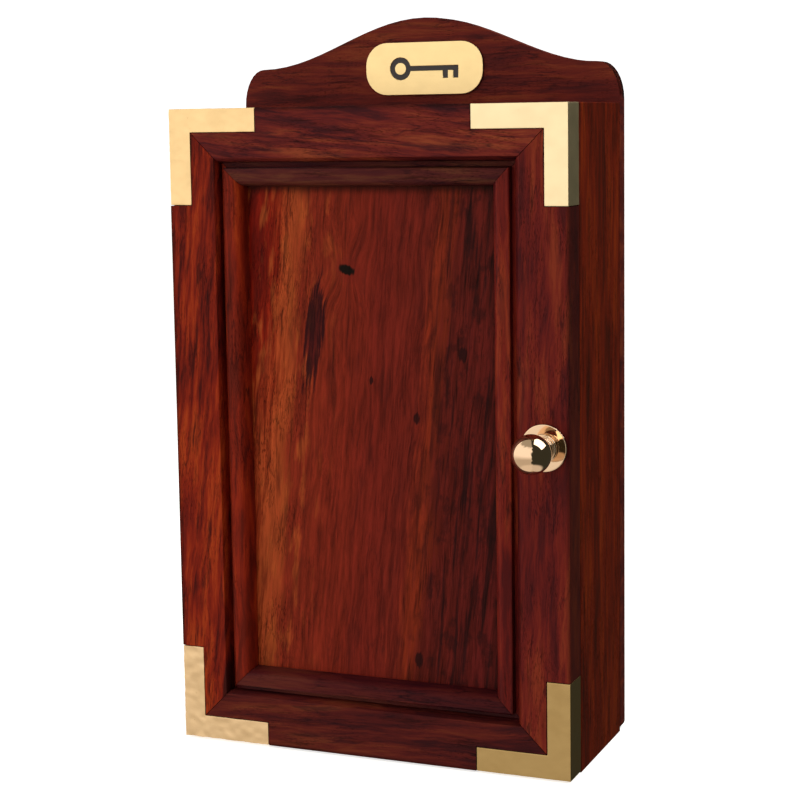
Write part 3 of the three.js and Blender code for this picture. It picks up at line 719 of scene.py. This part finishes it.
class PanelFinish(Finish):
    """The figured panel: orange at the left, red in the middle and dark stripes at the right.

    Each method from flare on takes the colour so far and lays one part of the figure over it;
    the last lays painted shade beside the top rail and the right stile.
    """

    def __init__(self):
        super().__init__("panel_wood")
        self.look = bpy.context.scene.cabinet_wood
        low, self.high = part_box("door_panel")
        middle = (low + self.high) / 2
        self.along = self.z - middle.z
        self.across = self.x - middle.x
        self.leaned = self.grain_round_knot()
        self.parts = figure(self, self.look, self.along, self.leaned + PANEL_START, self.y)
        # How far a place is towards the left side and towards the right side, from 0 to 1
        self.left = self.step(self.leaned, -16 * MM, -50 * MM)
        self.right = self.step(self.leaned, 6 * MM, 50 * MM)

    def wood(self):
        """The finished material."""
        base = self.bands()
        # The last part is painted shade beside the top rail and the right stile.
        for part in (self.flare, self.stripes, self.streaks, self.smoke, self.flame, self.blots,
                     self.specks, self.knot, self.pores, self.shelter):
            base = part(base)
        return wood_surface(self, self.look, base, self.parts)

    def layer(self, name):
        """A layer of the grain that leans with the panel's figure."""
        return layer(self, name, self.leaned, self.y, self.along)

    def from_knot(self):
        """The way from the knot across and along the panel."""
        return self.across - KNOT[0] * MM, self.along - KNOT[1] * MM

    def grain_round_knot(self):
        """The place across the leaning grain, which parts round the knot."""
        near = self.step(distance(*self.from_knot(), 0.8), 22 * MM, 2 * MM)
        side = self.step(self.across, (KNOT[0] - 4) * MM, (KNOT[0] + 4) * MM) - 0.5
        return self.across - self.along * PANEL_LEAN + near * side * (10 * MM)

    def bands(self):
        """The broad bands of colour from left to right."""
        strayed = self.leaned + (self.parts["broad"] - 0.5) * (30 * MM)
        strayed = strayed + (self.parts["streak"] - 0.5) * (22 * MM)
        return self.ramp((strayed + PANEL_WIDTH / 2) / PANEL_WIDTH, PANEL_BANDS)

    def flare(self, base):
        """Orange patches at the left."""
        patches = self.step(self.layer("flare"), 0.50, 0.66) * self.left
        return self.mix(patches * 0.75, base, rgba(FLARE))

    def stripes(self, base):
        """Nearly black stripes at the right."""
        patches = self.step(self.layer("stripe"), 0.48, 0.62) * self.right
        return self.mix(patches * 0.85, base, rgba(STRIPE))

    def streaks(self, base):
        """Light and dark streaks and fibres, livelier at the left."""
        lively = self.parts["lively"] * (0.45 + self.left * 0.55)
        shade = (self.step(self.parts["streak"], 0.30, 0.70) - 0.5) * 0.75
        return self.darken(base, 0.92 + shade + (self.parts["fibre"] - 0.5) * (0.25 + lively * 0.9))

    def smoke(self, base):
        """Smoky patches and thin ink lines."""
        base = self.mix(self.parts["smoke"] * 0.35, base, rgba(self.look.dark))
        return self.mix(self.parts["ink"] * 0.25, base, rgba(self.look.ink))

    def flame(self, base):
        """The long dark flame below the knot, with ragged sides."""
        (wide, long), (middle, top) = FLAME_SIZE, FLAME
        along = self.along - top * MM
        shifted = self.across - middle * MM - along * 0.13
        reach = distance(shifted / (wide * MM), along / (long * MM))
        ragged = (self.parts["broad"] - 0.5) * 0.8 + (self.parts["streak"] - 0.5) * 2.2
        mask = self.step(reach + ragged, 1.0, 0.66)
        red = self.step(self.parts["streak"], 0.46, 0.60)
        return self.mix(mask * 0.9, base, self.mix(red, rgba(FLAME_DARK), rgba(FLAME_RED)))

    def blots(self, base):
        """Black blots at the right."""
        patches = self.step(self.layer("blot"), 0.50, 0.64) * self.right
        return self.mix(patches * 0.55, base, rgba(self.look.ink))

    def specks(self, base):
        """A few small black specks."""
        for across, along, size in SPECKS:
            ragged = (self.parts["streak"] - 0.5) * (size * 2.6 * MM)
            reach = distance(self.across - across * MM, self.along - along * MM, 0.6) + ragged
            mask = self.step(reach, size * MM, size * 0.6 * MM)
            base = self.mix(mask * 0.85, base, rgba(self.look.ink))
        return base

    def knot(self, base):
        """The knot: a red ring round a black heart."""
        across, along = self.from_knot()
        ragged = (self.parts["streak"] - 0.5) * (2.6 * MM)
        ragged = ragged + (self.parts["fibre"] - 0.5) * (1.6 * MM)
        reach = distance((across + along * 0.5) * 0.70, along) + ragged
        base = self.mix(self.step(reach, 9 * MM, 3 * MM) * 0.5, base, rgba(KNOT_RED))
        return self.mix(self.step(reach, 3.4 * MM, 2.3 * MM), base, rgba(KNOT_BLACK))

    def pores(self, base):
        """Open pores and fine dark veins."""
        base = self.darken(base, 1 - self.parts["pore"] * (0.15 + self.left * 0.45))
        veined = 0.25 + self.right * 0.35 + self.left * 0.30
        return self.darken(base, 1 - self.parts["vein"] * veined)

    def shelter(self, base):
        """Painted shade: darker wood beside the top rail and the right stile, where they shade the
        panel.
        """
        top, right = self.high.z - REBATE, self.high.x - REBATE
        shaded_top = self.step(self.z, top - 5 * MM, top)
        shaded_side = self.step(self.x, right - 6 * MM, right)
        return self.darken(base, (1 - shaded_top * 0.70) * (1 - shaded_side * 0.45))


# How one corner is worn and lit: the depth of its dents against the usual depth, how brown its
# specks are and the tint of its colour, which paints the light, shade and reflection that fall on
# it
Wear = namedtuple("Wear", "depth speck tint")
CORNERS = {
    "top_left": Wear(1.5, 0.2, (0.95, 0.89, 0.91)),
    "top_right": Wear(0.5, 0.1, (1.0, 1.07, 1.32)),
    "bottom_left": Wear(2.8, 0.35, (0.91, 0.85, 0.98)),
    "bottom_right": Wear(0.7, 0.4, (0.52, 0.46, 0.38)),
}


class CABINET_OT_corners(bpy.types.Operator):
    """Makes the four brass corners, dented as hand work is."""

    bl_idname = "key_cabinet.corners"
    bl_label = "Brass corners"
    bl_options = {"REGISTER", "UNDO"}

    def execute(self, context):
        edges, look = context.scene.cabinet_edges, context.scene.cabinet_brass
        for number, (name, wear_and_light) in enumerate(CORNERS.items()):
            node = f"corner_{name}"
            shape = copy_of(node)
            soften(shape, edges.sheet, 1 * MM)
            slice_evenly(shape, edges.dent_grid)
            dent(shape, edges.dent * wear_and_light.depth, edges.dent_size, number + 1)
            # Painted light: each corner's tint makes it a lit or shaded copy of the same brass
            toned = [part * shift for part, shift in zip(look.pale, wear_and_light.tint)]
            metal = brass(f"brass_{node}", toned, look.satin, wear_and_light.speck)
            fit(finished(f"{node}_brass", shape, metal), node, "brass_corners")
        return {"FINISHED"}


class CABINET_OT_knob(bpy.types.Operator):
    """Turns the knob and its rose, and makes the screw that holds them."""

    bl_idname = "key_cabinet.knob"
    bl_label = "Knob"
    bl_options = {"REGISTER", "UNDO"}

    def execute(self, context):
        scene = context.scene
        sizes, edges, look = scene.cabinet_knob, scene.cabinet_edges, scene.cabinet_brass
        low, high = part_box("knob")
        centre = Vector(((low.x + high.x) / 2, high.y, (low.z + high.z) / 2))
        metal = brass("polished_brass", look.polished, look.mirror, 0.12, relief=0.004 * MM)
        shape = turned(knob_profile(sizes, high.y - low.y), edges.turns, centre)
        fit(finished("knob_brass", shape, metal), "knob", "polished_brass")
        back = Vector((centre.x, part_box("knob_rose")[1].y, centre.z))
        shape = turned(rose_profile(sizes), edges.turns, back)
        fit(finished("knob_rose_brass", shape, metal), "knob_rose", "polished_brass")
        fitting("knob_screw", steel("steel_screw"), "steel", edges.small, "steel")
        return {"FINISHED"}


BALL_STEPS = 48  # steps from the front of the ball to its neck
ROUND_STEPS = 6  # steps round a turned edge
BEVEL = 0.5 * MM
# Distances in front of the rose: the neck's ring, the waist behind it and the foot
RING_FRONT, RING_BACK, WAIST, FOOT_FRONT = 6.0 * MM, 4.6 * MM, 4.0 * MM, 2.4 * MM


def knob_profile(sizes, reach):
    """From the front of the ball back to the rose, whose face is at y = 0."""
    centre = (0.0, sizes.ball - reach)
    meet = 180 - math.degrees(math.asin(sizes.neck / sizes.ball))
    ball = arc(centre, sizes.ball, 0, meet, BALL_STEPS)
    waist = sizes.neck + BEVEL
    return [
        (0.0, -reach), *ball[1:],
        (sizes.neck, ball[-1][1] + BEVEL),
        *step_out(sizes.neck, sizes.ring, -RING_FRONT, 0.7 * MM),
        (sizes.ring, -RING_BACK), (sizes.ring - BEVEL, -RING_BACK + 0.4 * MM),
        (waist, -WAIST),
        *step_out(waist, sizes.foot, -FOOT_FRONT, 0.8 * MM),
        (sizes.foot, 0.0), (0.0, 0.0),
    ]


def step_out(inner, outer, y, round_over):
    """A flat shoulder with a round outer edge."""
    corner = arc((outer - round_over, y + round_over), round_over, 0, 90, ROUND_STEPS)
    return [(inner, y), *corner]


def rose_profile(sizes):
    """From the rose's face to its back, which is at y = 0."""
    rim = step_out(sizes.foot, sizes.rose, -sizes.rose_depth, BEVEL)
    return [(0.0, -sizes.rose_depth), *rim, (sizes.rose, -0.1 * MM), (sizes.rose - 0.2 * MM, 0.0),
            (0.0, 0.0)]


def steel(name):
    """Plain steel with a turned, slightly uneven surface."""
    look = bpy.context.scene.cabinet_brass
    finish = Finish(name)
    marks = finish.grain(finish.place(0.6 * MM, 3 * MM, 0.6 * MM), 3.0)
    base = finish.darken(look.steel, 0.8 + marks * 0.4)
    return finish.surface(Base_Color=base, Metallic=1.0, Roughness=0.28 + marks * 0.2,
                          Normal=finish.bump(marks, 0.01 * MM))


class CABINET_OT_fittings(bpy.types.Operator):
    """Makes the hinges, the keyhole plates, their screws and the catch."""

    bl_idname = "key_cabinet.fittings"
    bl_label = "Hinges, hangers and catch"
    bl_options = {"REGISTER", "UNDO"}

    def execute(self, context):
        edges, look = context.scene.cabinet_edges, context.scene.cabinet_brass
        metal = brass("plain_brass", look.plain, 0.3, 0.4)
        iron = steel("plain_steel")
        for node in sorted(frame["nodes"]):
            if node.startswith(("hinge_", "hanger_", "back_screw_")):
                fitting(node, metal, "plain_brass", edges.small)
            elif node in ("catch_magnet", "strike_plate", "strike_screw"):
                fitting(node, iron, "steel", edges.small, "steel")
        return {"FINISHED"}


class CABINET_OT_plaque(bpy.types.Operator):
    """Makes the plaque on the crown, engraved with a key and filled with dark enamel."""

    bl_idname = "key_cabinet.plaque"
    bl_label = "Plaque"
    bl_options = {"REGISTER", "UNDO"}

    def execute(self, context):
        edges, look = context.scene.cabinet_edges, context.scene.cabinet_brass
        shape = copy_of("name_plate")
        soften(shape, edges.sheet, 2 * MM)
        fit(finished("name_plate_brass", shape, plaque_brass(look)), "name_plate", "brass_corners")
        return {"FINISHED"}


HOLLOW = 0.42 * MM  # depth past which the plaque is dark: enamel in the engraving, painted shade on the plate's sides


def plaque_brass(look):
    """Brass whose hollows, below the face, are filled with enamel; its sides, as deep, get the same
    dark as painted shade.
    """
    finish = Finish("brass_name_plate")
    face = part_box("name_plate")[0].y
    cloud = finish.grain(finish.place(10 * MM), 3.0)
    lines = finish.grain(finish.place(12 * MM, 0.4 * MM, 0.4 * MM), 2.0)
    # Dark below this depth: real enamel in the engraving, painted shade on the plate's sides
    hollow = finish.step(finish.y, face + HOLLOW - 0.1 * MM, face + HOLLOW)
    base = finish.darken(look.pale, 0.9 + cloud * 0.16)
    base = finish.mix(hollow, base, rgba(look.enamel))
    return finish.surface(Base_Color=base, Metallic=1 - hollow, Roughness=0.3 + lines * 0.12,
                          Normal=finish.bump(lines, 0.006 * MM))


class CABINET_OT_hooks(bpy.types.Operator):
    """Bends the nine hooks for keys."""

    bl_idname = "key_cabinet.hooks"
    bl_label = "Key hooks"
    bl_options = {"REGISTER", "UNDO"}

    def execute(self, context):
        scene = context.scene
        metal = brass("hook_brass", scene.cabinet_brass.plain, 0.2, 0.3)
        for node in sorted(frame["nodes"]):
            if node.startswith("key_hook_"):
                shape = hook_shape(scene.cabinet_hook, hook_root(node))
                fit(finished(f"{node}_brass", shape, metal), node, "plain_brass")
        return {"FINISHED"}


WIRE_SIDES, WIRE_STEPS, BEAD_STEPS = 20, 40, 12  # round the wire, along it and along its bead


def hook_root(node):
    """Where a hook's wire leaves the face of the back board."""
    low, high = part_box(node)
    return Vector(((low.x + high.x) / 2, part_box("back_board")[0].y, high.z))


def hook_shape(sizes, root):
    """One closed skin swept from the collar, along the wire and round the bead."""
    start = root - Vector((0, 0, sizes.collar))
    total = sum(part for part, _ in hook_parts(sizes))
    shape = bmesh.new()
    rings = [[shape.verts.new(start)]]
    for place, radius in hook_radii(sizes, total):
        at, heading = hook_line(sizes, place)
        side = Vector((1, 0, 0))
        up = side.cross(heading)
        turns = [2 * math.pi * step / WIRE_SIDES for step in range(WIRE_SIDES)]
        rings.append([shape.verts.new(start + at + (side * math.cos(t) + up * math.sin(t)) * radius)
                      for t in turns])
    at, heading = hook_line(sizes, total)
    rings.append([shape.verts.new(start + at + heading * sizes.bead)])
    join_rings(shape, rings)
    return shape


def hook_parts(sizes):
    """The wire's stretches as (length, radius of its bend), which is None where it is straight."""
    return [(sizes.stem, None), (sizes.bend * math.pi / 2, sizes.bend),
            (sizes.bight * math.pi, -sizes.bight), (sizes.lip, None)]


def hook_line(sizes, place):
    """The wire's centre at a distance along it, and the way it heads there.

    The lip runs on past its end, so that the outer half of the bead is round.
    """
    at, heading = Vector((0, 0, 0)), Vector((0, -1, 0))
    *parts, lip = hook_parts(sizes)
    for part, bend in (*parts, (math.inf, lip[1])):
        run = min(place, part)
        if bend is None:
            at = at + heading * run
        else:
            turn = Matrix.Rotation(run / bend, 3, "X")
            inward = heading.cross(Vector((-1, 0, 0))) * bend
            at = at + inward - turn @ inward
            heading = turn @ heading
        place -= run
        if place <= 0:
            break
    return at, heading


def hook_radii(sizes, total):
    """(distance, radius) pairs: the collar, the wire, then the bead about the wire's end."""
    back = sizes.collar_depth
    yield from ((0.0, sizes.collar), (0.3 * MM, sizes.collar), (0.6 * MM, sizes.collar - 0.2 * MM),
                (back, sizes.wire + BEVEL), (back + 0.2 * MM, sizes.wire))
    start, end = back + 0.4 * MM, total - sizes.bead
    for step in range(WIRE_STEPS):
        yield start + (end - start) * step / WIRE_STEPS, sizes.wire
    for step in range(1, BEAD_STEPS):
        along = -math.cos(math.pi * step / BEAD_STEPS)
        radius = sizes.bead * math.sqrt(1 - along ** 2)
        yield total + along * sizes.bead, max(radius, sizes.wire) if along < 0 else radius


# ---------------------------------------------------------------- studio

WHITE = (1.0, 1.0, 1.0)


class CABINET_OT_studio(bpy.types.Operator):
    """Sets up the pale floor, the soft lights and the camera."""

    bl_idname = "key_cabinet.studio"
    bl_label = "Studio"
    bl_options = {"REGISTER", "UNDO"}

    def execute(self, context):
        studio = context.scene.cabinet_studio
        context.scene.view_settings.view_transform = "Standard"
        low, high = CAD_BOX
        door = door_box()
        add_floor(studio, low.z)
        add_room(studio)
        add_lamp(studio, (low + high) / 2)
        aim = Vector((studio.aim_x, door[0].y, (door[0].z + door[1].z) / 2 + studio.aim_z))
        add_camera(studio, aim)
        return {"FINISHED"}


FLOOR_REACH = 40  # metres from the middle of the floor to its edge


def add_floor(studio, level):
    """A pale light table, which takes soft shadows and throws no light back on the cabinet."""
    finish = Finish("studio_floor")
    dust = finish.grain(finish.place(300 * MM, 300 * MM, 1000 * MM), 2.0)
    base = finish.darken(studio.floor, 0.99 + dust * 0.02)
    material = finish.surface(Base_Color=base, Roughness=0.9, Specular_IOR_Level=0.0,
                              Emission_Color=rgba(studio.floor), Emission_Strength=studio.glow)
    shape = bmesh.new()
    bmesh.ops.create_grid(shape, x_segments=8, y_segments=8, size=FLOOR_REACH)
    bmesh.ops.translate(shape, verts=shape.verts, vec=(0, 0, level - HAIR))
    floor = finished("studio_floor", shape, material)
    floor.visible_diffuse = False
    floor.visible_glossy = False


def add_room(studio):
    """A white screen at the left, a dark room at the right and a white backdrop behind it all."""
    world = bpy.data.worlds.new("studio_room")
    bpy.context.scene.world = world
    room = Nodes(world, "Generated")
    clutter = room.grain(room.place(0.35), 3.0, 0.6) - 0.5
    to_right = room.x * math.cos(studio.turn) + room.y * math.sin(studio.turn)
    lit = room.mix(room.step(to_right + clutter * 0.5, 0.05, -0.07), rgba(studio.dusk),
                   screen_light(studio, room, clutter))
    lit = room.mix(room.step(room.z, -0.70, -0.84) * 0.8, lit, rgba(studio.warm))
    light = room.node("ShaderNodeBackground", {}, {"Color": lit})
    plain = {"Color": rgba(WHITE), "Strength": studio.backdrop}
    shown = room.node("ShaderNodeBackground", {}, plain)
    seen = room.node("ShaderNodeLightPath", output="Is Camera Ray")
    both = room.node("ShaderNodeMixShader", {}, {0: seen, 1: light, 2: shown})
    room.node("ShaderNodeOutputWorld", {}, {0: both}, output=None)


def screen_light(studio, room, clutter):
    """The lit side of the room: the screen, with the table below it and the ceiling above."""
    light = rgba([studio.screen * part for part in studio.screen_tint])
    below = room.step(room.z, 0.02, -0.42)
    above = room.step(room.z + clutter * 0.4, 0.66, 0.80)
    light = room.mix(below * 0.72, light, rgba(studio.bounce))
    return room.mix(above * 0.75, light, rgba(studio.ceiling))


def add_lamp(studio, middle):
    """A broad lamp above and to the right, a little behind the cabinet."""
    lamp = bpy.data.lights.new("studio_lamp", "AREA")
    lamp.shape = "SQUARE"
    lamp.size = studio.lamp_size
    lamp.energy = studio.lamp
    holder = bpy.data.objects.new("studio_lamp", lamp)
    holder.location = middle + Vector(studio.lamp_place)
    holder.rotation_euler = (middle - holder.location).to_track_quat("-Z", "Y").to_euler()
    bpy.context.scene.collection.objects.link(holder)


def add_camera(studio, aim):
    """A camera that looks at a point of the door, from the right and a little above."""
    lens = bpy.data.cameras.new("studio_camera")
    lens.lens = studio.lens
    lens.shift_y = studio.rise
    holder = bpy.data.objects.new("studio_camera", lens)
    level = math.pi / 2 - studio.tilt
    turn = (Matrix.Rotation(studio.turn, 4, "Z") @ Matrix.Rotation(level, 4, "X")
            @ Matrix.Rotation(studio.roll, 4, "Z"))
    back = turn @ Vector((0, 0, 1))
    holder.matrix_world = Matrix.Translation(aim + back * studio.distance) @ turn
    bpy.context.scene.collection.objects.link(holder)
    bpy.context.scene.camera = holder


# ---------------------------------------------------------------- add-on


OPERATORS = (CABINET_OT_carcass, CABINET_OT_door, CABINET_OT_corners, CABINET_OT_knob,
             CABINET_OT_fittings, CABINET_OT_plaque, CABINET_OT_hooks, CABINET_OT_studio)


class CABINET_PT_looks(bpy.types.Panel):
    """Lists the pieces to make and the sizes and colours to change."""

    bl_idname = "CABINET_PT_looks"
    bl_label = "Key cabinet"
    bl_space_type = "VIEW_3D"
    bl_region_type = "UI"
    bl_category = "Key cabinet"

    def draw(self, context):
        for operator in OPERATORS:
            self.layout.operator(operator.bl_idname)
        for name, group in LOOKS.items():
            column = self.layout.column(heading=group.__name__)
            for field in group.__annotations__:
                column.prop(getattr(context.scene, name), field)


CLASSES = (*LOOKS.values(), *OPERATORS, CABINET_PT_looks)


def register():
    """Makes the sizes, colours and operators known to the scene."""
    for cls in CLASSES:
        bpy.utils.register_class(cls)
    for name, group in LOOKS.items():
        setattr(bpy.types.Scene, name, PointerProperty(type=group))


def unregister():
    """Takes back what register made known."""
    for name in LOOKS:
        delattr(bpy.types.Scene, name)
    for cls in reversed(CLASSES):
        bpy.utils.unregister_class(cls)


def main():
    """Makes every piece and the studio."""
    register()
    for operator in OPERATORS:
        group, name = operator.bl_idname.split(".")
        getattr(getattr(bpy.ops, group), name)()


if __name__ == "__main__":
    main()
